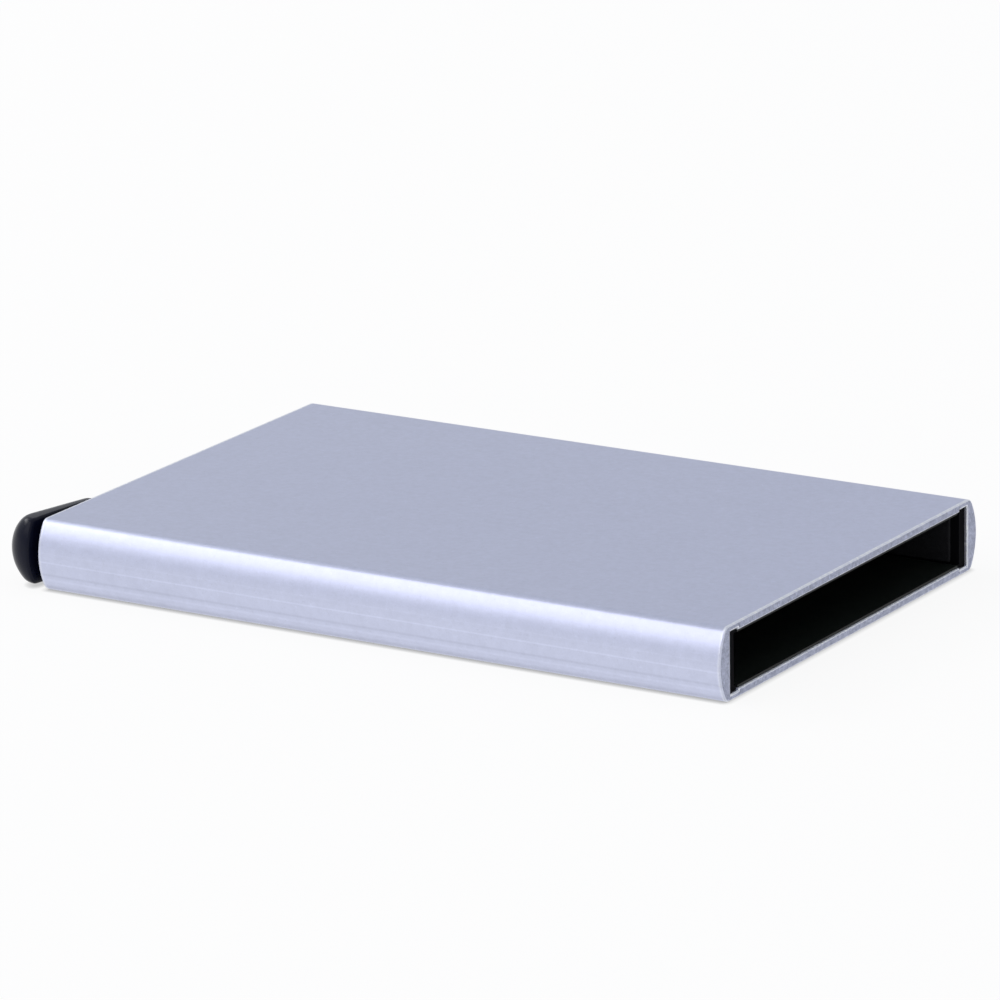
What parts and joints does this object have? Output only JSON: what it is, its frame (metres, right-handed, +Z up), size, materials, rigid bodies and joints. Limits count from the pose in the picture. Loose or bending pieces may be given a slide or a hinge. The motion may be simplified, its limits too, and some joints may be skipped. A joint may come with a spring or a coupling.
{
  "type": "pop-up card holder",
  "caption": "Slim extruded aluminium card holder, open at one end, with a pivoting corner lever whose stepped arm fans the stacked cards out of the mouth.",
  "frame": {"origin": "middle of the tube's underside, the face it rests on", "axes": "+X along the tube, from the lever end to the card mouth; +Y across the tube, from the lever's side to the far side; +Z up, through the thickness"},
  "size_m": [0.1008, 0.063, 0.009],
  "materials": {
    "tube_metal": "fine bead-blasted, clear anodised",
    "frame_plastic": "fine matt moulded",
    "lever_plastic": "satin gloss moulded",
    "pin_steel": "drawn and ground",
    "rail_plastic": "fine matt moulded",
    "strip_felt": "short felt pile",
    "liner_film": "smooth satin film"
  },
  "bodies": {
    "holder": {"body_tube": "tube_metal", "end_frame": "frame_plastic", "pivot_pin": "pin_steel", "guide_rail_near": "rail_plastic", "guide_rail_far": "rail_plastic", "friction_strip_near": "strip_felt", "friction_strip_far": "strip_felt", "face_liner_top": "liner_film", "face_liner_bottom": "liner_film"},
    "ejector": {"lever": "lever_plastic"}
  },
  "joints": [
    {"name": "lever_swing", "type": "hinge", "parent": "holder", "child": "ejector", "pos_m": [-0.0429, -0.0185, 0.0045], "axis": [0, 0, 1], "range_deg": [-27, 0]}
  ]
}
